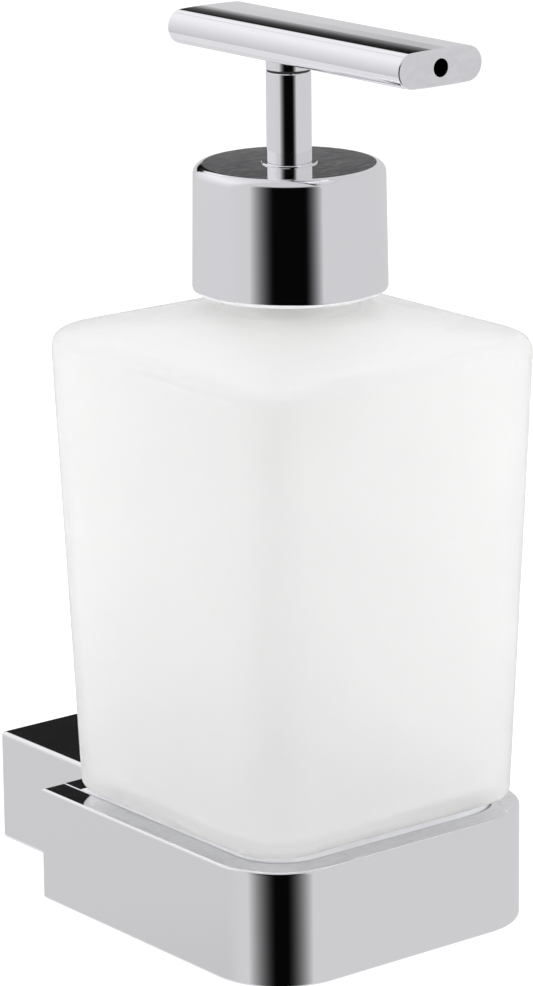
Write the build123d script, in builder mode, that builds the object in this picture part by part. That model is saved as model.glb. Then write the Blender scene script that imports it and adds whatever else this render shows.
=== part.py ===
"""Wall mounted soap dispenser: square glass bottle with a press pump, standing in a chrome holder.

Frame, in millimetres: the origin is the centre of the holder's back face, on the wall.
+X is to the right for somebody facing the wall, -Y points out of the wall, +Z is up.
"""
import os
from math import cos, radians, sin

from build123d import *

os.makedirs("parts", exist_ok=True)

# ---------------------------------------------------------------- driving dimensions
# Holder
ring_width = 70.0           # outside of the ring, left to right
ring_depth = 71.0           # outside of the ring, front to back
ring_height = 22.7
ring_wall = 5.5
ring_corner = 15.2          # outside radius of the two front corners
post_width = 41.0
post_depth = 34.5           # from the wall to the back of the ring
post_wall = 2.5
post_front_wall = 5.0
liner_wall = 2.5
liner_ledge = 3.5           # how far the liner's ledge reaches in under the bottle
ledge_thick = 2.0

# Bottle
body_bottom_half = 32.5     # half the width of the body at its lower edge
body_top_half = 35.5        # half the width where the side meets the shoulder
body_corner = 10.5
body_lift = 1.5             # gap between the body's lower edge and the ring's top
body_height = 90.8
shoulder_rise = 5.45
shoulder_end_r = 13.6       # where the shoulder meets the neck
shoulder_round = 3.5
glass_wall = 3.2
glass_floor = 5.0
foot_half = 26.2
foot_corner = 8.0
foot_depth = 18.0           # how far the foot reaches below the ring's top
neck_r = 12.6
neck_bore_r = 10.0
neck_height = 18.05
thread_pitch = 3.0
thread_turns = 1.25
thread_rise = 0.9           # how far a thread stands out of its cylinder
thread_foot = 1.7
thread_crest = 0.8

# Pump collar and head
collar_gap = 3.25           # between the shoulder's end and the collar's lower edge
collar_height = 24.0
collar_top_r = 18.1
collar_bottom_r = 18.5
collar_wall = 1.1
rod_r = 4.25
bar_width = 19.6
bar_thick = 6.8
bar_front = 43.6            # from the pump axis to the spout's end face
bar_back = 24.2
bar_bottom_lift = 20.1      # from the collar's top to the bar's underside, pump up
boss_height = 2.3
washer_thick = 0.4
washer_step = 0.15          # the washer is this much smaller in radius than the rod
spout_r = 1.7

# Pump inside
cylinder_bore_r = 6.0
cylinder_wall = 1.2
stem_r = 3.0
stem_bore_r = 1.5
dip_tube_r = 2.5
dip_tube_bore_r = 1.7
running_gap = 0.08          # radial, between a sliding or turning part and its bore
clear_gap = 0.3             # radial, between moving parts that don't touch

# Fasteners
wall_hole_r = 2.25
wall_hole_spacing = 24.0
ring_screw_r = 2.0
ring_screw_spacing = 30.0
grub_screw_r = 2.5

# ---------------------------------------------------------------- places that follow from them
pump_y = -(post_depth + ring_depth / 2)
opening_half_x = ring_width / 2 - ring_wall
opening_half_y = ring_depth / 2 - ring_wall
rim_z = ring_height / 2
foot_z = rim_z - foot_depth
body_z = rim_z + body_lift
shoulder_z = body_z + body_height
neck_z = shoulder_z + shoulder_rise
neck_top_z = neck_z + neck_height
collar_z = neck_z + collar_gap
collar_top_z = collar_z + collar_height
bar_z = collar_top_z + bar_bottom_lift
boss_z = bar_z - boss_height
rod_top_z = boss_z - washer_thick
spout_z = bar_z + bar_thick / 2
axis_plane = Plane.XY.offset(0).shift_origin((0, pump_y, 0))

# Turned pieces are half sections of (radius, height) corners, revolved about the pump's axis.
half_section = Plane.XZ.offset(-pump_y)
pump_axis = Axis((0, pump_y, 0), (0, 0, 1))


def level(z):
    """The horizontal plane at height z, centred on the pump's axis."""
    return axis_plane.offset(z)


def thread_section(helix, outward):
    """The plane across the start of a helix, with its x axis radial: outward is 1 or -1."""
    return Plane(origin=helix @ 0, x_dir=(outward, 0, 0), z_dir=helix % 0)


def rounded_square(half, corner):
    """A square sketch centred on the plane, with half its width and its corner radius given."""
    return RectangleRounded(2 * half, 2 * half, corner)


# ================================================================ holder, fixed to the wall
# ---- wall bracket: a cast plate with two screw holes and a nose for the grub screw
bracket_thick = 3.5
bracket_gap = 0.3           # round the bracket, inside the post
nose_width = 11.0
nose_depth = 8.0            # how far the nose stands out of the plate
notch_depth = 1.6
bracket_half_x = post_width / 2 - post_wall - bracket_gap
bracket_half_z = ring_height / 2 - post_wall - bracket_gap
grub_y = -bracket_thick - nose_depth / 2

with BuildPart() as wall_bracket:
    with BuildSketch(Plane.XZ):
        RectangleRounded(2 * bracket_half_x, 2 * bracket_half_z, 2.0)
        with GridLocations(wall_hole_spacing, 1, 2, 1):
            Circle(wall_hole_r, mode=Mode.SUBTRACT)
    extrude(amount=bracket_thick)
    with BuildSketch(Plane.XZ.offset(bracket_thick)):
        Rectangle(nose_width, 2 * bracket_half_z - 2)
    extrude(amount=nose_depth)
    chamfer(wall_bracket.faces().sort_by(Axis.Y)[0].edges(), 0.6)
    with BuildSketch(Plane.XY.offset(-bracket_half_z + 1).shift_origin((0, grub_y, -bracket_half_z + 1))):
        Circle(grub_screw_r + 0.4)
    extrude(amount=notch_depth, mode=Mode.SUBTRACT)
wall_bracket.part.label = "wall_bracket"
export_step(wall_bracket.part, "parts/wall_bracket.step")

# ---- bracket post: the hollow chrome block that slides over the wall bracket
post_edge = 0.8
wall_end_round = 0.6        # of the outer edges against the wall

with BuildPart() as bracket_post:
    with BuildSketch(Plane.XZ):
        Rectangle(post_width, ring_height)
    extrude(amount=post_depth)
    outer_edges = bracket_post.edges().filter_by(Axis.Y)
    fillet(outer_edges, post_edge)
    fillet(bracket_post.faces().sort_by(Axis.Y)[-1].edges(), wall_end_round)
    with BuildSketch(Plane.XZ):
        RectangleRounded(post_width - 2 * post_wall, ring_height - 2 * post_wall, 2.2)
    extrude(amount=post_depth - post_front_wall, mode=Mode.SUBTRACT)
    with BuildSketch(Plane.XZ.offset(post_depth)):
        with GridLocations(ring_screw_spacing, 1, 2, 1):
            Circle(ring_screw_r)
    extrude(amount=-post_front_wall, mode=Mode.SUBTRACT)
    with BuildSketch(Plane.XY.offset(-ring_height / 2).shift_origin((0, grub_y, -ring_height / 2))):
        Circle(grub_screw_r)
    extrude(amount=post_wall, mode=Mode.SUBTRACT)
bracket_post.part.label = "bracket_post"
export_step(bracket_post.part, "parts/bracket_post.step")

# ---- grub screw: from below, through the post's floor into the bracket's notch
grub_head_z = -ring_height / 2 + 0.5
grub_length = (-bracket_half_z + 1 + notch_depth) - grub_head_z - 0.05
grub_key = 2.5              # across flats

with BuildPart() as grub_screw:
    with BuildSketch(Plane.XY.offset(grub_head_z).shift_origin((0, grub_y, grub_head_z))):
        Circle(grub_screw_r - 0.04)
    extrude(amount=grub_length)
    chamfer(grub_screw.edges().sort_by(Axis.Z)[-1], 0.6)
    with BuildSketch(Plane.XY.offset(grub_head_z).shift_origin((0, grub_y, grub_head_z))):
        RegularPolygon(grub_key / 2, 6, major_radius=False)
    extrude(amount=2.2, mode=Mode.SUBTRACT)
grub_screw.part.label = "grub_screw"
export_step(grub_screw.part, "parts/grub_screw.step")

# ---- holder band: flat bar bent round the front of the ring, open at the back
edge_round = 0.5

with BuildPart() as holder_band:
    with BuildSketch(level(-ring_height / 2)) as band_outline:
        Rectangle(ring_width, ring_depth)
        fillet(band_outline.vertices().group_by(Axis.Y)[0], ring_corner)
    extrude(amount=ring_height)
    with BuildSketch(level(-ring_height / 2)) as band_opening:
        with Locations((0, ring_wall / 2)):
            Rectangle(2 * opening_half_x, 2 * opening_half_y + ring_wall)
        fillet(band_opening.vertices().group_by(Axis.Y)[0], ring_corner - ring_wall)
    extrude(amount=ring_height, mode=Mode.SUBTRACT)
    fillet(holder_band.faces().filter_by(Axis.Z).edges(), edge_round)
holder_band.part.label = "holder_band"
export_step(holder_band.part, "parts/holder_band.step")

# ---- back bar: closes the ring between the band's two arms, and carries the ring on the post
screw_head_r = 3.7
screw_head_sink = 0.1       # the head's face lies this far under the bar's face

with BuildPart() as back_bar:
    with BuildSketch(Plane.XZ.offset(post_depth)):
        Rectangle(2 * opening_half_x, ring_height)
    extrude(amount=ring_wall)
    chamfer(back_bar.edges().filter_by(Axis.X), edge_round / 2)
    with Locations(Plane.XZ.offset(post_depth + ring_wall)):
        with GridLocations(ring_screw_spacing, 1, 2, 1):
            CounterSinkHole(ring_screw_r + 0.2, screw_head_r + 2 * screw_head_sink, counter_sink_angle=90)
back_bar.part.label = "back_bar"
export_step(back_bar.part, "parts/back_bar.step")

# ---- ring screws: two countersunk socket screws through the back bar into the post
ring_screw_key = 2.5
screw_shank_r = ring_screw_r - 0.04
head_face_y = -post_depth - ring_wall + screw_head_sink
screw_tip_y = -post_depth + post_front_wall + 1.5

with BuildPart() as ring_screws:
    with BuildSketch(Plane.YZ):
        with BuildLine():
            Polyline(
                (head_face_y, 0),
                (head_face_y, screw_head_r),
                (head_face_y + screw_head_r - screw_shank_r, screw_shank_r),
                (screw_tip_y, screw_shank_r),
                (screw_tip_y, 0),
                close=True,
            )
        make_face()
    revolve(axis=Axis.Y)
    with BuildSketch(Plane.XZ.offset(post_depth + ring_wall)):
        RegularPolygon(ring_screw_key / 2, 6, major_radius=False)
    extrude(amount=-1.8, mode=Mode.SUBTRACT)
screw_pair = Compound([Pos(side * ring_screw_spacing / 2, 0, 0) * ring_screws.part for side in (-1, 1)])
screw_pair.label = "ring_screws"
export_step(screw_pair, "parts/ring_screws.step")

# ---- holder liner: plastic sleeve inside the ring, with a ledge that the bottle stands on
liner_inner_x = opening_half_x - liner_wall
liner_inner_y = opening_half_y - liner_wall
liner_bottom_z = foot_z - ledge_thick

with BuildPart() as holder_liner:
    with BuildSketch(level(liner_bottom_z)) as liner_outline:
        Rectangle(2 * opening_half_x, 2 * opening_half_y)
        fillet(liner_outline.vertices().group_by(Axis.Y)[0], ring_corner - ring_wall + 0.8)
        fillet(liner_outline.vertices().group_by(Axis.Y)[-1], 0.6)
    extrude(amount=rim_z - liner_bottom_z)
    with BuildSketch(level(foot_z)):
        RectangleRounded(2 * liner_inner_x, 2 * liner_inner_y, foot_corner + 0.6)
    extrude(amount=rim_z - foot_z, mode=Mode.SUBTRACT)
    with BuildSketch(level(liner_bottom_z)):
        rounded_square(liner_inner_x - liner_ledge, foot_corner - 2.5)
    extrude(amount=ledge_thick, mode=Mode.SUBTRACT)
    chamfer(holder_liner.faces().sort_by(Axis.Z)[-1].inner_wires()[0].edges(), 0.6)
holder_liner.part.label = "holder_liner"
export_step(holder_liner.part, "parts/holder_liner.step")

# ---- thread: the corners of its section, x outward from its cylinder
thread_corners = (
    (-0.3, -thread_foot / 2),
    (thread_rise, -thread_crest / 2),
    (thread_rise, thread_crest / 2),
    (-0.3, thread_foot / 2),
)

# ================================================================ bottle, lifts out of the holder
# ---- bottle: tapered square body, low sloping shoulder, round neck, and a foot inside the liner
near_circle = 0.02          # keeps four short flats, so that both ends of a shoulder match
bottom_round = 2.0
root_round = 1.2            # hollow rounding between the shoulder and the neck
root_foot_z = neck_z - 0.1
thread_z = neck_top_z - 9.5
inner_corner = body_corner - glass_wall + 0.8
inner_bottom_z = body_z + glass_wall
inner_shoulder_z = shoulder_z - glass_wall
inner_top_half = body_top_half - glass_wall

with BuildPart() as bottle:
    with BuildSketch(level(body_z)):
        rounded_square(body_bottom_half, body_corner)
    with BuildSketch(level(shoulder_z)):
        rounded_square(body_top_half, body_corner)
    loft(ruled=True)
    with BuildSketch(level(shoulder_z)):
        rounded_square(body_top_half, body_corner)
    with BuildSketch(level(neck_z)):
        rounded_square(shoulder_end_r, shoulder_end_r - near_circle)
    loft(ruled=True)
    shoulder_edges = bottle.edges().filter_by_position(Axis.Z, shoulder_z - 0.01, shoulder_z + 0.01)
    fillet(shoulder_edges, shoulder_round)
    fillet(bottle.faces().sort_by(Axis.Z)[0].edges(), bottom_round)
    with BuildSketch(level(foot_z)):
        rounded_square(foot_half, foot_corner)
    extrude(amount=body_z - foot_z)
    fillet(bottle.faces().sort_by(Axis.Z)[0].edges(), bottom_round)
    with BuildSketch(half_section):
        with BuildLine():
            hollow = RadiusArc(
                (neck_r + root_round, root_foot_z),
                (neck_r, root_foot_z + root_round),
                root_round,
            )
            Polyline(
                hollow @ 1,
                (neck_r, neck_top_z),
                (neck_bore_r - 1, neck_top_z),
                (neck_bore_r - 1, root_foot_z),
                hollow @ 0,
            )
        make_face()
    revolve(axis=pump_axis)
    with BuildLine() as neck_thread:
        Helix(thread_pitch, thread_pitch * thread_turns, neck_r, center=(0, pump_y, thread_z))
    with BuildSketch(thread_section(neck_thread.line, 1)):
        Polygon(*thread_corners, align=None)
    sweep(is_frenet=True)
    with BuildSketch(level(foot_z + glass_floor)):
        rounded_square(foot_half - glass_wall, foot_corner - glass_wall)
    extrude(amount=inner_bottom_z - foot_z - glass_floor, mode=Mode.SUBTRACT)
    with BuildSketch(level(inner_bottom_z)):
        rounded_square(body_bottom_half - glass_wall, inner_corner)
    with BuildSketch(level(inner_shoulder_z)):
        rounded_square(inner_top_half, inner_corner)
    loft(ruled=True, mode=Mode.SUBTRACT)
    with BuildSketch(level(inner_shoulder_z)):
        rounded_square(inner_top_half, inner_corner)
    with BuildSketch(level(neck_z - glass_wall)):
        rounded_square(neck_bore_r, neck_bore_r - near_circle)
    loft(ruled=True, mode=Mode.SUBTRACT)
    with BuildSketch(level(neck_z - glass_wall)):
        Circle(neck_bore_r)
    extrude(amount=neck_height + glass_wall, mode=Mode.SUBTRACT)
bottle.part.label = "bottle"
export_step(bottle.part, "parts/bottle.step")

# ================================================================ pump, hangs in the neck
gasket_thick = 0.8
flange_thick = 1.5
flange_r = 12.5             # passes the closure nut's thread
flange_z = neck_top_z + gasket_thick
flange_top_z = flange_z + flange_thick
cylinder_r = cylinder_bore_r + cylinder_wall
cylinder_length = 38.0
cylinder_bottom_z = flange_top_z - cylinder_length
inlet_chamber_r = 3.0
inlet_chamber_height = 5.4
inlet_seat_r = 1.6
inlet_seat_z = cylinder_bottom_z - inlet_chamber_height
socket_depth = 8.0
socket_bottom_z = inlet_seat_z - 1.5 - socket_depth
socket_r = dip_tube_r + 1.2


# ---- neck gasket: soft washer between the neck and the pump's flange
with BuildPart() as neck_gasket:
    with BuildSketch(half_section):
        Polygon(
            (neck_bore_r, neck_top_z),
            (neck_r, neck_top_z),
            (neck_r, flange_z),
            (neck_bore_r, flange_z),
            align=None,
        )
    revolve(axis=pump_axis)
neck_gasket.part.label = "neck_gasket"
export_step(neck_gasket.part, "parts/neck_gasket.step")

# ---- pump body: flange, cylinder, inlet valve chamber and the socket for the dip tube
with BuildPart() as pump_body:
    with BuildSketch(half_section):
        Polygon(
            (cylinder_bore_r, flange_top_z),
            (flange_r, flange_top_z),
            (flange_r, flange_z),
            (cylinder_r, flange_z),
            (cylinder_r, cylinder_bottom_z - 1.2),
            (inlet_chamber_r + 1.2, cylinder_bottom_z - 3.0),
            (inlet_chamber_r + 1.2, inlet_seat_z - 1.0),
            (socket_r, inlet_seat_z - 1.5),
            (socket_r, socket_bottom_z),
            (dip_tube_r, socket_bottom_z),
            (dip_tube_r, inlet_seat_z - 1.5),
            (inlet_seat_r, inlet_seat_z - 1.5),
            (inlet_seat_r, inlet_seat_z),
            (inlet_chamber_r, inlet_seat_z + 1.4),
            (inlet_chamber_r, cylinder_bottom_z),
            (cylinder_bore_r, cylinder_bottom_z),
            align=None,
        )
    revolve(axis=pump_axis)
pump_body.part.label = "pump_body"
export_step(pump_body.part, "parts/pump_body.step")

# ---- chaplet: the ring that closes the cylinder's top, and stops the piston there
chaplet_r = 8.6
chaplet_thick = 2.6
chaplet_skirt = 2.0         # how far its skirt reaches down inside the cylinder
chaplet_bore_r = rod_r + clear_gap

with BuildPart() as chaplet:
    with BuildSketch(half_section):
        Polygon(
            (chaplet_bore_r, flange_top_z - chaplet_skirt),
            (cylinder_bore_r - 0.02, flange_top_z - chaplet_skirt),
            (cylinder_bore_r - 0.02, flange_top_z),
            (chaplet_r, flange_top_z),
            (chaplet_r, flange_top_z + chaplet_thick),
            (chaplet_bore_r, flange_top_z + chaplet_thick),
            align=None,
        )
    revolve(axis=pump_axis)
chaplet.part.label = "chaplet"
export_step(chaplet.part, "parts/chaplet.step")

# ---- dip tube: from the pump down to the bottle's floor, its end cut at an angle
tube_end_z = foot_z + glass_floor + 3.0
tube_top_z = inlet_seat_z - 1.5

with BuildPart() as dip_tube:
    with BuildSketch(level(tube_end_z)):
        Circle(dip_tube_r - 0.02)
        Circle(dip_tube_bore_r, mode=Mode.SUBTRACT)
    extrude(amount=tube_top_z - tube_end_z)
    cut_plane = Plane(origin=(0, pump_y, tube_end_z + dip_tube_r), z_dir=(0, 1, 1))
    split(bisect_by=cut_plane, keep=Keep.TOP)
dip_tube.part.label = "dip_tube"
export_step(dip_tube.part, "parts/dip_tube.step")

# ---- piston levels: the seal's top is just under the chaplet's skirt
seal_height = 5.5
seal_top_z = flange_top_z - chaplet_skirt - 0.1
seal_bottom_z = seal_top_z - seal_height
seat_flange_thick = 1.2
seat_z = seal_bottom_z - seat_flange_thick
seat_r = 4.4
seat_plug_height = 2.6
outlet_chamber_r = 2.2
outlet_chamber_top_z = seal_bottom_z + seat_plug_height + 4.6

# ---- return spring: stands in the cylinder under the piston
spring_wire_r = 0.45
spring_r = 4.6
spring_turns = 7
spring_bottom_z = cylinder_bottom_z
spring_rest = seat_z - spring_bottom_z

with BuildPart() as return_spring:
    with BuildLine() as spring_path:
        Helix(
            pitch=(spring_rest - 2 * spring_wire_r - 0.1) / spring_turns,
            height=spring_rest - 2 * spring_wire_r - 0.1,
            radius=spring_r,
            center=(0, pump_y, spring_bottom_z + spring_wire_r + 0.05),
        )
    with BuildSketch(Plane(origin=spring_path.line @ 0, z_dir=spring_path.line % 0)):
        Circle(spring_wire_r)
    sweep(is_frenet=True)
return_spring.part.label = "return_spring"
export_step(return_spring.part, "parts/return_spring.step")

# ---- inlet ball and outlet ball: each rests on its conical seat
inlet_ball_r = 2.4
outlet_ball_r = 1.75
outlet_seat_r = 1.0


def seated_height(ball_r, seat_edge_r, cone_top_r, cone_height):
    """How far a ball's centre stands above the foot of the cone that it rests in."""
    slope = cone_height / (cone_top_r - seat_edge_r)
    reach = (1 + slope**2) ** 0.5
    return ball_r * reach - slope * seat_edge_r + 0.02


inlet_ball_z = inlet_seat_z + seated_height(inlet_ball_r, inlet_seat_r, inlet_chamber_r, 1.4)
with BuildPart() as inlet_ball:
    with Locations((0, pump_y, inlet_ball_z)):
        Sphere(inlet_ball_r)
inlet_ball.part.label = "inlet_ball"
export_step(inlet_ball.part, "parts/inlet_ball.step")

# ---- valve seat: pressed into the stem's lower end, its flange holds the seal and the spring
seat_top_z = seal_bottom_z + seat_plug_height
seat_cone_height = 0.9
with BuildPart() as valve_seat:
    with BuildSketch(half_section):
        Polygon(
            (outlet_seat_r, seat_z),
            (seat_r, seat_z),
            (seat_r, seal_bottom_z),
            (outlet_chamber_r - 0.02, seal_bottom_z),
            (outlet_chamber_r - 0.02, seat_top_z),
            (outlet_chamber_r - 0.2, seat_top_z),
            (outlet_seat_r, seat_top_z - seat_cone_height),
            align=None,
        )
    revolve(axis=pump_axis)
valve_seat.part.label = "valve_seat"
export_step(valve_seat.part, "parts/valve_seat.step")

outlet_cone_foot_z = seat_top_z - seat_cone_height
outlet_ball_z = outlet_cone_foot_z + seated_height(
    outlet_ball_r, outlet_seat_r, outlet_chamber_r - 0.2, seat_cone_height
)
with BuildPart() as outlet_ball:
    with Locations((0, pump_y, outlet_ball_z)):
        Sphere(outlet_ball_r)
outlet_ball.part.label = "outlet_ball"
export_step(outlet_ball.part, "parts/outlet_ball.step")

# ---- piston stem: hollow, carries the soap from the piston up into the bar
stem_top_z = spout_z - spout_r - 0.3
with BuildPart() as piston_stem:
    with BuildSketch(half_section):
        Polygon(
            (outlet_chamber_r, seal_bottom_z),
            (stem_r, seal_bottom_z),
            (stem_r, stem_top_z),
            (stem_bore_r, stem_top_z),
            (stem_bore_r, outlet_chamber_top_z + 0.7),
            (outlet_chamber_r, outlet_chamber_top_z),
            align=None,
        )
    revolve(axis=pump_axis)
piston_stem.part.label = "piston_stem"
export_step(piston_stem.part, "parts/piston_stem.step")

# ---- piston seal: lipped sleeve on the stem, wiping the cylinder
seal_r = cylinder_bore_r - 0.04
with BuildPart() as piston_seal:
    with BuildSketch(half_section):
        Polygon(
            (stem_r + 0.02, seal_bottom_z),
            (seat_r, seal_bottom_z),
            (seal_r, seal_bottom_z + 0.6),
            (seal_r, seal_bottom_z + 1.4),
            (seal_r - 0.7, seal_bottom_z + 2.2),
            (seal_r - 0.7, seal_top_z - 1.4),
            (seal_r, seal_top_z - 0.6),
            (seal_r, seal_top_z),
            (seal_r - 0.6, seal_top_z),
            (stem_r + 1.0, seal_top_z - 1.6),
            (stem_r + 0.02, seal_top_z - 1.6),
            align=None,
        )
    revolve(axis=pump_axis)
piston_seal.part.label = "piston_seal"
export_step(piston_seal.part, "parts/piston_seal.step")

# ================================================================ collar, screws onto the neck
# ---- cap shell: chrome cup over the closure, slightly wider at its lower edge
shell_top_inner_z = collar_top_z - 1.2
shell_hole_r = 5.3
shell_top_round = 1.8
shell_bottom_round = 0.8
nut_r = collar_top_r - collar_wall - 0.1

with BuildPart() as cap_shell:
    with BuildSketch(half_section):
        Polygon(
            (shell_hole_r, shell_top_inner_z),
            (shell_hole_r, collar_top_z),
            (collar_top_r, collar_top_z),
            (collar_bottom_r, collar_z),
            (collar_top_r - collar_wall, collar_z),
            (collar_top_r - collar_wall, shell_top_inner_z),
            align=None,
        )
    revolve(axis=pump_axis)
    shell_edges = cap_shell.edges().filter_by(GeomType.CIRCLE).group_by(SortBy.RADIUS)
    top_edge = shell_edges[-2].sort_by(Axis.Z)[-1]
    bottom_edge = shell_edges[-1].sort_by(Axis.Z)[0]
    fillet(top_edge, shell_top_round)
    fillet(bottom_edge, shell_bottom_round)
cap_shell.part.label = "cap_shell"
export_step(cap_shell.part, "parts/cap_shell.step")

# ---- closure nut: plastic cup pressed into the shell, it screws onto the neck
nut_bore_r = neck_r + thread_rise + clear_gap
nut_thread_z = thread_z - thread_pitch / 2  # half a turn below the neck's thread
nut_web_z = flange_top_z + 0.05
nut_web_thick = 2.2
nut_hole_r = chaplet_r + 0.4

with BuildPart() as closure_nut:
    with BuildSketch(half_section):
        Polygon(
            (nut_bore_r, collar_z + 0.6),
            (nut_r, collar_z + 0.6),
            (nut_r, shell_top_inner_z),
            (nut_bore_r, shell_top_inner_z),
            (nut_bore_r, nut_web_z + nut_web_thick),
            (nut_hole_r, nut_web_z + nut_web_thick),
            (nut_hole_r, nut_web_z),
            (nut_bore_r, nut_web_z),
            align=None,
        )
    revolve(axis=pump_axis)
    with BuildLine() as nut_thread:
        Helix(thread_pitch, thread_pitch * thread_turns, nut_bore_r, center=(0, pump_y, nut_thread_z))
    with BuildSketch(thread_section(nut_thread.line, -1)):
        Polygon(*thread_corners, align=None)
    sweep(is_frenet=True)
closure_nut.part.label = "closure_nut"
export_step(closure_nut.part, "parts/closure_nut.step")

# ---- stem guide: bush through the shell's top, its lip shows round the foot of the rod
guide_lip = 0.25
guide_flange_r = 7.2
guide_flange_thick = 1.6

with BuildPart() as stem_guide:
    with BuildSketch(half_section):
        Polygon(
            (rod_r + running_gap, shell_top_inner_z - guide_flange_thick),
            (guide_flange_r, shell_top_inner_z - guide_flange_thick),
            (guide_flange_r, shell_top_inner_z),
            (shell_hole_r - 0.02, shell_top_inner_z),
            (shell_hole_r - 0.02, collar_top_z + guide_lip - 0.12),
            (shell_hole_r - 0.14, collar_top_z + guide_lip),
            (rod_r + running_gap, collar_top_z + guide_lip),
            align=None,
        )
    revolve(axis=pump_axis)
stem_guide.part.label = "stem_guide"
export_step(stem_guide.part, "parts/stem_guide.step")

# ================================================================ head, pressed down and turned
# ---- rod sleeve: the chrome tube round the stem, from the bar down to the piston
sleeve_bottom_z = seal_top_z + 0.3
sleeve_bore_r = stem_r + running_gap
rod_edge = 0.25

with BuildPart() as rod_sleeve:
    with BuildSketch(half_section):
        Polygon(
            (sleeve_bore_r, sleeve_bottom_z),
            (rod_r, sleeve_bottom_z),
            (rod_r, rod_top_z),
            (sleeve_bore_r, rod_top_z),
            align=None,
        )
    revolve(axis=pump_axis)
    chamfer(rod_sleeve.edges().filter_by(GeomType.CIRCLE).group_by(SortBy.RADIUS)[-1], rod_edge)
rod_sleeve.part.label = "rod_sleeve"
export_step(rod_sleeve.part, "parts/rod_sleeve.step")

# ---- head washer: dark ring in the groove between the rod and the bar's boss
with BuildPart() as head_washer:
    with BuildSketch(half_section):
        Polygon(
            (sleeve_bore_r, rod_top_z),
            (rod_r - washer_step, rod_top_z),
            (rod_r - washer_step, boss_z),
            (sleeve_bore_r, boss_z),
            align=None,
        )
    revolve(axis=pump_axis)
head_washer.part.label = "head_washer"
export_step(head_washer.part, "parts/head_washer.step")

# ---- spout bar: flat bar with round sides, pressed by hand, drilled from its front end
bar_edge = 0.35
crown_r = 104.0             # its top and bottom fall away very slightly towards its sides
crown_tilt = 2.7            # where the crown meets the round side, in degrees
crown_sin, crown_cos = sin(radians(crown_tilt)), cos(radians(crown_tilt))
side_r = (bar_thick / 2 - crown_r * (1 - crown_cos)) / crown_cos
side_centre = bar_width / 2 - side_r
crown_start = side_centre + (side_r - crown_r) * crown_sin

with BuildPart() as spout_bar:
    with BuildSketch(Plane.XZ.offset(-pump_y - bar_back).shift_origin((0, pump_y + bar_back, spout_z))):
        with BuildLine():
            Line((0, bar_thick / 2), (crown_start, bar_thick / 2))
            CenterArc((crown_start, bar_thick / 2 - crown_r), crown_r, 90, -crown_tilt)
            CenterArc((side_centre, 0), side_r, 90 - crown_tilt, crown_tilt - 90)
            mirror(about=Plane.XZ)
            mirror(about=Plane.YZ)
        make_face()
    extrude(amount=bar_front + bar_back)
    fillet(spout_bar.faces().filter_by(Axis.Y).edges(), bar_edge)
    with BuildSketch(level(boss_z)):
        Circle(rod_r)
    extrude(until=Until.NEXT)
    with BuildSketch(level(boss_z)):
        Circle(sleeve_bore_r)
    extrude(amount=stem_top_z + 0.3 - boss_z, mode=Mode.SUBTRACT)
    with BuildSketch(level(stem_top_z)):
        Circle(spout_r)
    extrude(amount=spout_z - stem_top_z, mode=Mode.SUBTRACT)
    with BuildSketch(Plane.XZ.offset(-pump_y + bar_front).shift_origin((0, pump_y - bar_front, spout_z))):
        Circle(spout_r)
    extrude(amount=-bar_front - spout_r, mode=Mode.SUBTRACT)
spout_bar.part.label = "spout_bar"
export_step(spout_bar.part, "parts/spout_bar.step")
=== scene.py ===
"""Looks of the wall mounted soap dispenser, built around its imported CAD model, in metres."""
from math import cos, pi, radians, sin

import bmesh
import bpy
from mathutils import Matrix, Vector


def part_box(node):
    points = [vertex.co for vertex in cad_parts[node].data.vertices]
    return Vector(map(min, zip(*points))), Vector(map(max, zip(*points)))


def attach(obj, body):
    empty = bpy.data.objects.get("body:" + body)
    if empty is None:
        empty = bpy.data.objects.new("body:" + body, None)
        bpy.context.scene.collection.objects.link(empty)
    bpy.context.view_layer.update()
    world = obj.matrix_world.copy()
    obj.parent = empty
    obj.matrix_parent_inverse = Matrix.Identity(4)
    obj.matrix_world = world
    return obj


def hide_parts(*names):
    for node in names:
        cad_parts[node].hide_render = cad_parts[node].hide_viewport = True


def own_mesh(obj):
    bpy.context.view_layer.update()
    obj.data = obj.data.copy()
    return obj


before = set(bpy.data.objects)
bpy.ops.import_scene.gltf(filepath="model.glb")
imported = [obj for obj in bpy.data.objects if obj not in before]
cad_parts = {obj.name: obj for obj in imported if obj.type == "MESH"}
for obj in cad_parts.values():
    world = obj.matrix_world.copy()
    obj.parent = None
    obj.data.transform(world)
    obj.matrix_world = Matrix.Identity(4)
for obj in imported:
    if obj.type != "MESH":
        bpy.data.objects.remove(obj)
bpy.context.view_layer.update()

MM = 0.001
IN_DEGREES = 180.0 / pi
ALONG_Y = (0.0, 1.0, 0.0)
ALONG_Z = (0.0, 0.0, 1.0)
WHITE = (1.0, 1.0, 1.0, 1.0)


# ---------------------------------------------------------------- places read from the frame
def centre(node):
    """The middle of a CAD node's box."""
    low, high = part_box(node)
    return (low + high) / 2


ring_low, ring_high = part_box("holder_band")
body_low, body_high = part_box("bottle")
pump_middle = centre("cap_shell")


# ---------------------------------------------------------------- camera
CAMERA_AZIMUTH = radians(-38.17)
CAMERA_ELEVATION = radians(15.2)
CAMERA_ROLL = radians(-0.61)
CAMERA_DISTANCE = 0.8608
CAMERA_FOCAL = 165.0 * MM
CAMERA_SENSOR = 36.0 * MM
CAMERA_SEES = (0.05, 50.0)      # the nearest and the farthest that it shows
AIM_RIGHT = -4.92 * MM          # from the pump's axis, across the picture
AIM_ABOVE_RIM = 61.0 * MM

# From the object to the camera, and the level directions to its right and towards it.
back = Vector((
    sin(CAMERA_AZIMUTH) * cos(CAMERA_ELEVATION),
    -cos(CAMERA_AZIMUTH) * cos(CAMERA_ELEVATION),
    sin(CAMERA_ELEVATION),
))
level_right = Vector((cos(CAMERA_AZIMUTH), sin(CAMERA_AZIMUTH), 0.0))
level_back = Vector((sin(CAMERA_AZIMUTH), -cos(CAMERA_AZIMUTH), 0.0))


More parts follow.
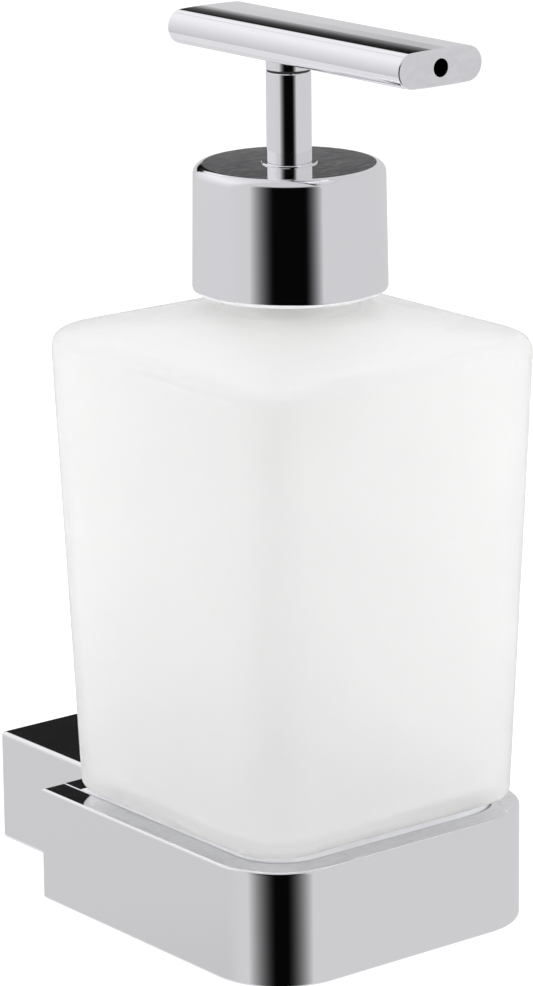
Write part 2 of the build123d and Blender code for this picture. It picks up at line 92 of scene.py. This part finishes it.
def make_camera():
    """It looks at a place above the ring's rim, near the pump's axis."""
    up = back.cross(level_right)
    right = level_right * cos(CAMERA_ROLL) + up * sin(CAMERA_ROLL)
    up = back.cross(right)
    aim = Vector((pump_middle.x, pump_middle.y, ring_high.z + AIM_ABOVE_RIM)) + right * AIM_RIGHT
    place = Matrix((right, up, back)).transposed().to_4x4()
    place.translation = aim + back * CAMERA_DISTANCE
    data = bpy.data.cameras.new("camera")
    data.lens = CAMERA_FOCAL / MM
    data.sensor_width = CAMERA_SENSOR / MM
    data.clip_start, data.clip_end = CAMERA_SEES
    camera = bpy.data.objects.new("camera", data)
    camera.matrix_world = place
    bpy.context.scene.collection.objects.link(camera)
    bpy.context.scene.camera = camera


# ---------------------------------------------------------------- small node helpers
def add(tree, kind, **properties):
    """A new node with the given properties set on it."""
    node = tree.nodes.new(kind)
    for name, value in properties.items():
        setattr(node, name, value)
    return node


def feed(tree, socket, value):
    """Links an output to a socket, or sets a constant on it."""
    if isinstance(value, bpy.types.NodeSocket):
        tree.links.new(value, socket)
    else:
        socket.default_value = value


def calc(tree, operation, *values):
    """One step of arithmetic on outputs or constants."""
    node = add(tree, "ShaderNodeMath", operation=operation)
    for socket, value in zip(node.inputs, values):
        feed(tree, socket, value)
    return node.outputs[0]


def ramp(tree, value, low, high, to_low=0.0, to_high=1.0, smooth=True):
    """The value mapped from low..high to to_low..to_high, with a soft or a straight slope."""
    node = add(tree, "ShaderNodeMapRange", interpolation_type="SMOOTHSTEP" if smooth else "LINEAR")
    for socket, setting in zip(node.inputs, (value, low, high, to_low, to_high)):
        feed(tree, socket, setting)
    return node.outputs[0]


def band(tree, value, start, full, fall, end):
    """0 outside start..end, 1 between full and fall, soft in between."""
    rise = ramp(tree, value, start, full)
    drop = ramp(tree, value, fall, end, 1.0, 0.0)
    return calc(tree, "MULTIPLY", rise, drop)


def along(tree, direction, axis):
    """How far a direction goes along an axis."""
    node = add(tree, "ShaderNodeVectorMath", operation="DOT_PRODUCT")
    feed(tree, node.inputs[0], direction)
    node.inputs[1].default_value = axis
    return node.outputs["Value"]


def mix_value(tree, factor, a, b):
    node = add(tree, "ShaderNodeMix", data_type="FLOAT")
    feed(tree, node.inputs[0], factor)
    feed(tree, node.inputs[2], a)
    feed(tree, node.inputs[3], b)
    return node.outputs[0]


def mix_colour(tree, factor, a, b):
    node = add(tree, "ShaderNodeMix", data_type="RGBA")
    feed(tree, node.inputs[0], factor)
    feed(tree, node.inputs[6], a)
    feed(tree, node.inputs[7], b)
    return node.outputs[2]


# ---------------------------------------------------------------- studio
# Places round the object are degrees from the camera's direction ("side") or from the direction
# straight behind the object ("side behind"), to the camera's right, and degrees above the horizon
# ("rise"). Four of them say where a band starts, is full, falls off and ends.
STUDIO_TINT = (0.99, 0.985, 1.0, 1.0)

# What glass and plastic see: soft light, stronger from both sides and from above.
SOFT_MIDDLE = 0.25
SOFT_SIDES = 0.68
SOFT_TOP = 0.5
SOFT_CAMERA_SHARE = 0.9         # what is left of it round the camera
SOFT_SIDES_FROM = (0.1, 0.95)   # how far to the side a direction goes, of 1, from start to full
SOFT_CAMERA_FROM = (0.3, 1.0)   # the same towards the camera
SOFT_TOP_FROM = (0.15, 0.85)    # and upward
SOFT_ABOVE_CAMERA = 0.8         # added in a patch above the camera
SOFT_PATCH_SIDE = (-75.0, -35.0, 35.0, 75.0)
SOFT_PATCH_RISE = (22.0, 35.0, 60.0, 80.0)

# What polished metal sees: shades from 0 to 1 as the eye sees them, by rise.
WALL = ((-90, 0.87), (-42, 0.87), (-39, 0.76), (-37, 0.826), (20, 0.826), (45, 0.82), (90, 0.80))
LEFT_WALL = (
    (-90, 0.885), (-26, 0.90), (-24, 0.80), (-22, 0.77), (-20.5, 0.81), (-17, 0.82),
    (0, 0.87), (15, 0.91), (36, 0.975), (50, 0.94), (90, 0.80),
)
LEFT_WALL_SIDE_BEHIND = (-125.0, -95.0, -36.0, -29.0)
SCREEN = (
    (-90, 0.87), (-26, 0.87), (-23, 0.78), (-20.5, 0.826), (9.45, 0.826),
    (10.7, 0.37), (11.4, 0.31), (12.6, 0.05), (18, 0.16), (20.5, 0.14), (22, 0.20),
    (26, 0.93), (36, 0.97), (50, 0.90), (90, 0.80),
)
SCREEN_SIDE_BEHIND = (-31.0, -28.0, 2.0, 2.7)
EYE = 2.2                       # from a shade as the eye sees it to light

# The dark flag round the camera. Its edges differ where the collar and where the ring reflect it.
FLAG_LIGHT = 0.002
FLAG_RISE = (-75.0, -50.0, 20.0, 38.0)
FLAG_LEFT = ((-49.0, -18.0), (-48.0, -6.0))     # side from and to, for the collar and the ring
FLAG_RIGHT = ((17.0, 39.0), (8.0, 47.0))
FLAG_RING_BELOW = (-15.5, -14.0)                # the ring reflects it below this rise


def profile(tree, rise, stops):
    """Light by rise, with even steps for the eye from stop to stop."""
    node = add(tree, "ShaderNodeValToRGB")
    low, high = stops[0][0], stops[-1][0]
    feed(tree, node.inputs[0], ramp(tree, rise, low, high, smooth=False))
    elements = node.color_ramp.elements
    elements.remove(elements[1])
    for index, (place, shade) in enumerate(stops):
        share = (place - low) / (high - low)
        element = elements[0] if index == 0 else elements.new(share)
        element.position = share
        element.color = (shade, shade, shade, 1.0)
    return calc(tree, "POWER", node.outputs[0], EYE)


def flag(tree, side, rise):
    """1 on the dark flag, 0 beside it."""
    at_ring = ramp(tree, rise, *FLAG_RING_BELOW, 1.0, 0.0)

    def past_edge(collar, ring, first, last):
        """A straight slope from first to last across one edge."""
        start, end = (mix_value(tree, at_ring, *ends) for ends in zip(collar, ring))
        return ramp(tree, side, start, end, first, last, smooth=False)

    beside = calc(tree, "MAXIMUM", past_edge(*FLAG_LEFT, 1.0, 0.0), past_edge(*FLAG_RIGHT, 0.0, 1.0))
    inside = calc(tree, "SUBTRACT", 1.0, calc(tree, "POWER", beside, EYE))
    return calc(tree, "MULTIPLY", band(tree, rise, *FLAG_RISE), inside)


def light_for_metal(tree, side, side_behind, rise):
    """Pale walls, a dark screen far behind the object and a dark flag round the camera."""
    light = mix_value(tree, band(tree, side_behind, *LEFT_WALL_SIDE_BEHIND),
                      profile(tree, rise, WALL), profile(tree, rise, LEFT_WALL))
    light = mix_value(tree, band(tree, side_behind, *SCREEN_SIDE_BEHIND),
                      light, profile(tree, rise, SCREEN))
    return mix_value(tree, flag(tree, side, rise), light, FLAG_LIGHT)


def soft_light(tree, across, towards, height, side, rise):
    """Light without edges, from everywhere."""
    aside = calc(tree, "ABSOLUTE", across)
    light = ramp(tree, aside, *SOFT_SIDES_FROM, SOFT_MIDDLE, SOFT_SIDES)
    near_camera = ramp(tree, towards, *SOFT_CAMERA_FROM, 1.0, SOFT_CAMERA_SHARE)
    light = calc(tree, "MULTIPLY", light, near_camera)
    light = mix_value(tree, ramp(tree, height, *SOFT_TOP_FROM), light, SOFT_TOP)
    patch = calc(tree, "MULTIPLY",
                 band(tree, side, *SOFT_PATCH_SIDE), band(tree, rise, *SOFT_PATCH_RISE))
    return calc(tree, "ADD", light, calc(tree, "MULTIPLY", patch, SOFT_ABOVE_CAMERA))


def make_studio():
    """A pale studio all round. The camera itself sees plain white behind the object."""
    world = bpy.data.worlds.new("studio")
    bpy.context.scene.world = world
    world.use_nodes = True
    tree = world.node_tree
    tree.nodes.clear()

    direction = add(tree, "ShaderNodeTexCoord").outputs["Generated"]
    across = along(tree, direction, level_right)
    towards = along(tree, direction, level_back)
    height = along(tree, direction, ALONG_Z)
    away = calc(tree, "MULTIPLY", towards, -1.0)
    side = calc(tree, "MULTIPLY", calc(tree, "ARCTAN2", across, towards), IN_DEGREES)
    side_behind = calc(tree, "MULTIPLY", calc(tree, "ARCTAN2", across, away), IN_DEGREES)
    rise = calc(tree, "MULTIPLY", calc(tree, "ARCSINE", height), IN_DEGREES)
    for_metal = light_for_metal(tree, side, side_behind, rise)
    soft = soft_light(tree, across, towards, height, side, rise)

    # A reflection seen through the glass, or after a matt surface, takes the soft light.
    paths = add(tree, "ShaderNodeLightPath").outputs
    through = calc(tree, "ADD", paths["Diffuse Depth"], paths["Transmission Depth"])
    direct = calc(tree, "LESS_THAN", through, 0.5)
    mirrored = calc(tree, "MULTIPLY", paths["Is Glossy Ray"], direct)
    studio = add(tree, "ShaderNodeBackground")
    studio.inputs["Color"].default_value = STUDIO_TINT
    feed(tree, studio.inputs["Strength"], mix_value(tree, mirrored, soft, for_metal))
    backdrop = add(tree, "ShaderNodeBackground")
    backdrop.inputs["Color"].default_value = WHITE
    choose = add(tree, "ShaderNodeMixShader")
    feed(tree, choose.inputs[0], paths["Is Camera Ray"])
    tree.links.new(studio.outputs[0], choose.inputs[1])
    tree.links.new(backdrop.outputs[0], choose.inputs[2])
    tree.links.new(choose.outputs[0], add(tree, "ShaderNodeOutputWorld").inputs["Surface"])


SOFTBOX_SIZE = (50.0 * MM, 120.0 * MM)
SOFTBOX_LIGHT = 1.0
SOFTBOX_OUT = 45.0 * MM         # out from the face that it lights
SOFTBOX_PAST = 20.0 * MM        # past the end of that face
SOFTBOX_UP = 10.0 * MM
FILL_SIZE = (1.2, 1.2)
FILL_LIGHT = 1.15
FILL_ABOVE = 0.6


def make_softbox(name, place, aim, size, light, shadow=True):
    """A rectangular lamp that polished metal and the camera don't see."""
    width, height = size
    data = bpy.data.lights.new(name, "AREA")
    data.shape = "RECTANGLE"
    data.size = width
    data.size_y = height
    data.energy = light * pi * width * height
    data.use_shadow = shadow
    lamp = bpy.data.objects.new(name, data)
    facing = (Vector(aim) - Vector(place)).to_track_quat("-Z", "Y")
    lamp.matrix_world = Matrix.Translation(place) @ facing.to_matrix().to_4x4()
    lamp.visible_camera = False
    lamp.visible_glossy = False
    bpy.context.scene.collection.objects.link(lamp)


def make_softboxes():
    """One lamp at each side of the bottle, where a face that the camera sees ends, and a fill."""
    middle = centre("bottle")
    half = (body_high.x - body_low.x) / 2
    left_edge = Vector((middle.x - half, middle.y + half, middle.z))
    right_edge = Vector((middle.x + half, middle.y - half, middle.z))
    make_softbox("softbox_left", left_edge + Vector((-SOFTBOX_OUT, SOFTBOX_PAST, SOFTBOX_UP)),
                 left_edge, SOFTBOX_SIZE, SOFTBOX_LIGHT)
    make_softbox("softbox_right", right_edge + Vector((SOFTBOX_PAST, -SOFTBOX_OUT, SOFTBOX_UP)),
                 right_edge, SOFTBOX_SIZE, SOFTBOX_LIGHT)
    # The fill lights the places that the collar and the bottle keep from the sky.
    make_softbox("fill", middle + Vector((0.0, 0.0, FILL_ABOVE)), middle, FILL_SIZE, FILL_LIGHT,
                 shadow=False)


FLOOR_SIZE = 12.0
FLOOR_DROP = 0.35               # below the ring
FLOOR_COLOUR = (0.5, 0.5, 0.5, 1.0)
FLOOR_ROUGHNESS = 0.9
FLOOR_GLOW = 0.8


def make_floor():
    """A plain pale floor, which metal doesn't reflect and which can't be seen from below."""
    bpy.ops.mesh.primitive_plane_add(size=FLOOR_SIZE, location=(0.0, 0.0, ring_low.z - FLOOR_DROP))
    floor = bpy.context.object
    floor.name = "floor"
    floor.visible_glossy = False
    material, tree, shader = new_material("floor_white")
    shader.inputs["Base Color"].default_value = FLOOR_COLOUR
    shader.inputs["Roughness"].default_value = FLOOR_ROUGHNESS
    shader.inputs["Emission Color"].default_value = WHITE
    shader.inputs["Emission Strength"].default_value = FLOOR_GLOW
    from_below = add(tree, "ShaderNodeMixShader")
    feed(tree, from_below.inputs[0], add(tree, "ShaderNodeNewGeometry").outputs["Backfacing"])
    tree.links.new(shader.outputs[0], from_below.inputs[1])
    tree.links.new(add(tree, "ShaderNodeBsdfTransparent").outputs[0], from_below.inputs[2])
    tree.links.new(from_below.outputs[0], tree.nodes["Material Output"].inputs["Surface"])
    floor.data.materials.append(material)


# ---------------------------------------------------------------- materials
def new_material(name):
    """A material with its node tree and its Principled shader."""
    material = bpy.data.materials.new(name)
    material.use_nodes = True
    tree = material.node_tree
    return material, tree, tree.nodes["Principled BSDF"]


def object_position(tree, stretch=(1.0, 1.0, 1.0)):
    """Places on the piece itself, scaled along its axes."""
    place = add(tree, "ShaderNodeTexCoord").outputs["Object"]
    mapping = add(tree, "ShaderNodeMapping")
    mapping.inputs["Scale"].default_value = stretch
    tree.links.new(place, mapping.inputs["Vector"])
    return mapping.outputs[0]


def noise(tree, place, scale, detail=3.0, roughness=0.5):
    """A cloudy pattern from 0 to 1, mostly near the middle; scale is its grains in a metre."""
    node = add(tree, "ShaderNodeTexNoise")
    tree.links.new(place, node.inputs["Vector"])
    node.inputs["Scale"].default_value = scale
    node.inputs["Detail"].default_value = detail
    node.inputs["Roughness"].default_value = roughness
    return node.outputs["Fac"]


NOISE_SPREAD = (0.3, 0.7)       # nearly all of a noise lies between these


def spread(tree, pattern, low=0.0, high=1.0):
    """A noise drawn out to low..high."""
    return ramp(tree, pattern, *NOISE_SPREAD, low, high)


def bump(tree, shader, height, depth):
    node = add(tree, "ShaderNodeBump")
    node.inputs["Strength"].default_value = 1.0
    node.inputs["Distance"].default_value = depth
    tree.links.new(height, node.inputs["Height"])
    tree.links.new(node.outputs[0], shader.inputs["Normal"])


def darker(colour, share):
    """A colour with the given share of its brightness."""
    return tuple(share * part for part in colour[:3]) + (1.0,)


def face_mask(tree, axis, limit=0.97):
    """1 on the flat faces of a piece that look along an axis, 0 elsewhere."""
    normal = add(tree, "ShaderNodeTexCoord").outputs["Normal"]
    return ramp(tree, calc(tree, "ABSOLUTE", along(tree, normal, axis)), limit, 1.0)


def chrome(name, brushed_axis, tint=(0.93, 0.935, 0.95, 1.0), depth=0.004 * MM):
    """Mirror bright plating, hazy from handling, with polishing marks on faces along one axis."""
    material, tree, shader = new_material(name)
    shader.inputs["Metallic"].default_value = 1.0
    haze = noise(tree, object_position(tree), scale=60.0, detail=4.0)
    wiped = noise(tree, object_position(tree, (1.0, 6.0, 0.7)), scale=350.0)
    handled = calc(tree, "MULTIPLY", haze, wiped)
    polish = ramp(tree, handled, 0.12, 0.42, 0.022, 0.06)
    brushed = object_position(tree, (1.0, 2.5, 1.6))
    marks = noise(tree, brushed, scale=420.0, detail=5.0, roughness=0.65)
    on_face = face_mask(tree, brushed_axis)
    feed(tree, shader.inputs["Roughness"], mix_value(
        tree, on_face, polish, spread(tree, marks, 0.03, 0.1)))
    dulled = calc(tree, "MULTIPLY", ramp(tree, marks, 0.35, 0.65), on_face)
    feed(tree, shader.inputs["Base Color"], mix_colour(tree, dulled, tint, darker(tint, 0.94)))
    bump(tree, shader, calc(tree, "MULTIPLY", marks, on_face), depth)
    return material


def frosted_glass():
    """Acid etched outside: a fine even grain, and a hardly visible cloudiness from the etching."""
    material, tree, shader = new_material("frosted_glass")
    cloud = noise(tree, object_position(tree), scale=45.0)
    feed(tree, shader.inputs["Base Color"], mix_colour(
        tree, spread(tree, cloud), (0.968, 0.966, 0.962, 1.0), (0.98, 0.978, 0.974, 1.0)))
    shader.inputs["Transmission Weight"].default_value = 0.7
    shader.inputs["IOR"].default_value = 1.5
    grain = noise(tree, object_position(tree), scale=900.0, detail=2.0)
    feed(tree, shader.inputs["Roughness"], spread(tree, grain, 0.43, 0.51))
    bump(tree, shader, grain, 0.01 * MM)
    return material


def moulded_plastic(name, light, dark, roughness, clear=0.0):
    """Injection moulded: flow clouds in its colour and a fine grain; clear lets light through."""
    material, tree, shader = new_material(name)
    flow = noise(tree, object_position(tree, (1.0, 1.0, 0.35)), scale=90.0, detail=4.0)
    feed(tree, shader.inputs["Base Color"], mix_colour(tree, spread(tree, flow), dark, light))
    shader.inputs["Transmission Weight"].default_value = clear
    shader.inputs["IOR"].default_value = 1.49
    grain = noise(tree, object_position(tree), scale=1400.0)
    feed(tree, shader.inputs["Roughness"], spread(tree, grain, roughness - 0.05, roughness + 0.06))
    bump(tree, shader, grain, 0.006 * MM)
    return material


def rubber():
    """Matt black, with a dusty bloom in places."""
    material, tree, shader = new_material("seal_rubber")
    bloom = noise(tree, object_position(tree), scale=250.0, detail=5.0, roughness=0.6)
    feed(tree, shader.inputs["Base Color"], mix_colour(
        tree, ramp(tree, bloom, 0.4, 0.8), (0.018, 0.018, 0.02, 1.0), (0.05, 0.05, 0.053, 1.0)))
    feed(tree, shader.inputs["Roughness"], ramp(tree, bloom, 0.3, 0.8, 0.5, 0.75))
    bump(tree, shader, noise(tree, object_position(tree), scale=2200.0), 0.01 * MM)
    return material


def cast_zinc():
    """Dull grey casting: a grainy skin, lighter where it has been rubbed."""
    material, tree, shader = new_material("bracket_zinc")
    shader.inputs["Metallic"].default_value = 0.85
    skin = noise(tree, object_position(tree), scale=700.0, detail=6.0, roughness=0.65)
    rubbed = noise(tree, object_position(tree), scale=80.0)
    feed(tree, shader.inputs["Base Color"], mix_colour(
        tree, ramp(tree, rubbed, 0.35, 0.7), (0.36, 0.365, 0.38, 1.0), (0.58, 0.585, 0.6, 1.0)))
    feed(tree, shader.inputs["Roughness"], spread(tree, skin, 0.42, 0.6))
    bump(tree, shader, skin, 0.05 * MM)
    return material


def turned_steel(name, colour, roughness, stretch, depth=0.004 * MM):
    """Bright stainless steel with fine drawing or turning marks along one direction."""
    material, tree, shader = new_material(name)
    shader.inputs["Metallic"].default_value = 1.0
    marks = noise(tree, object_position(tree, stretch), scale=600.0, detail=4.0, roughness=0.6)
    feed(tree, shader.inputs["Base Color"], mix_colour(
        tree, spread(tree, marks), darker(colour, 0.82), colour))
    feed(tree, shader.inputs["Roughness"], spread(tree, marks, roughness * 0.7, roughness * 1.3))
    bump(tree, shader, marks, depth)
    return material


# ---------------------------------------------------------------- return spring
WIRE_RADIUS = 0.45 * MM
WIRE_SIDES = 12
STEPS_PER_TURN = 32
WORKING_TURNS = 6.0
CLOSED_TURNS = 1.0              # at each end, wire against wire
CLOSED_PITCH = 2.05 * WIRE_RADIUS
EASE = 0.25                     # how much flatter than the middle the working turns begin and end


def make_spring():
    """A wound compression spring with closed ends, in place of the plain helix."""
    low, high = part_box("return_spring")
    foot = Vector(((low.x + high.x) / 2, (low.y + high.y) / 2, low.z + WIRE_RADIUS))
    coil_radius = (high.x - low.x) / 2 - WIRE_RADIUS
    working_rise = high.z - low.z - 2 * WIRE_RADIUS - 2 * CLOSED_TURNS * CLOSED_PITCH
    turns = WORKING_TURNS + 2 * CLOSED_TURNS
    steps = int(turns * STEPS_PER_TURN)
    grid = bmesh.new()
    rings = []
    for step in range(steps + 1):
        turn = turns * step / steps
        working = min(max((turn - CLOSED_TURNS) / WORKING_TURNS, 0.0), 1.0)
        closed = min(turn, CLOSED_TURNS) + max(turn - CLOSED_TURNS - WORKING_TURNS, 0.0)
        eased = working - EASE * sin(2 * pi * working) / (2 * pi)
        up = closed * CLOSED_PITCH + working_rise * eased
        outward = Vector((cos(2 * pi * turn), sin(2 * pi * turn), 0.0))
        middle = foot + outward * coil_radius + Vector((0.0, 0.0, up))
        rings.append([
            grid.verts.new(middle + WIRE_RADIUS * (outward * cos(a) + Vector((0.0, 0.0, sin(a)))))
            for a in (2 * pi * k / WIRE_SIDES for k in range(WIRE_SIDES))])
    for a, b in zip(rings, rings[1:]):
        for k in range(WIRE_SIDES):
            after = (k + 1) % WIRE_SIDES
            grid.faces.new((a[k], b[k], b[after], a[after]))
    grid.faces.new(rings[0])
    grid.faces.new(reversed(rings[-1]))
    bmesh.ops.recalc_face_normals(grid, faces=grid.faces)
    mesh = bpy.data.meshes.new("spring_coil")
    grid.to_mesh(mesh)
    grid.free()
    for face in mesh.polygons:
        face.use_smooth = len(face.vertices) == 4
    spring = bpy.data.objects.new("spring_coil", mesh)
    bpy.context.scene.collection.objects.link(spring)
    mesh.materials.append(LOOKS["wire"])
    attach(spring, "pump")
    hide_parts("return_spring")
    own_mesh(spring)


# ---------------------------------------------------------------- the scene
make_camera()
make_studio()
make_softboxes()
make_floor()

PUMP_TINT = (0.93, 0.93, 0.955, 1.0)
LOOKS = {
    "ring_chrome": chrome("ring_chrome", ALONG_Z),
    "pump_chrome": chrome("pump_chrome", ALONG_Z, PUMP_TINT),
    "bar_chrome": chrome("bar_chrome", ALONG_Y, PUMP_TINT, depth=0.012 * MM),
    "glass": frosted_glass(),
    "liner": moulded_plastic(
        "liner_plastic", (0.79, 0.79, 0.82, 1.0), (0.74, 0.74, 0.77, 1.0), 0.34),
    "natural": moulded_plastic(
        "natural_plastic", (0.90, 0.90, 0.88, 1.0), (0.84, 0.84, 0.82, 1.0), 0.3, clear=0.25),
    "tube": moulded_plastic(
        "tube_plastic", (0.88, 0.89, 0.89, 1.0), (0.82, 0.83, 0.83, 1.0), 0.36, clear=0.5),
    "rubber": rubber(),
    "zinc": cast_zinc(),
    "screw": turned_steel("screw_steel", (0.62, 0.62, 0.63, 1.0), 0.22, (1.0, 5.0, 1.0)),
    "wire": turned_steel("spring_wire", (0.66, 0.66, 0.67, 1.0), 0.24, (1.0, 1.0, 4.0)),
    "ball": turned_steel(
        "ball_steel", (0.72, 0.72, 0.74, 1.0), 0.07, (1.0, 1.0, 1.0), depth=0.001 * MM),
}
NODE_LOOKS = {
    "ring_chrome": ("bracket_post", "holder_band", "back_bar"),
    "pump_chrome": ("cap_shell", "rod_sleeve", "stem_guide"),
    "bar_chrome": ("spout_bar",),
    "glass": ("bottle",),
    "liner": ("holder_liner",),
    "natural": ("pump_body", "chaplet", "closure_nut", "piston_stem", "valve_seat"),
    "tube": ("dip_tube",),
    "rubber": ("piston_seal", "head_washer", "neck_gasket"),
    "zinc": ("wall_bracket",),
    "screw": ("grub_screw", "ring_screws"),
    "ball": ("inlet_ball", "outlet_ball"),
    "wire": ("return_spring",),
}
for look, names in NODE_LOOKS.items():
    for name in names:
        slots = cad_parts[name].data.materials
        slots.clear()
        slots.append(LOOKS[look])
make_spring()

bpy.context.scene.view_settings.view_transform = "Standard"
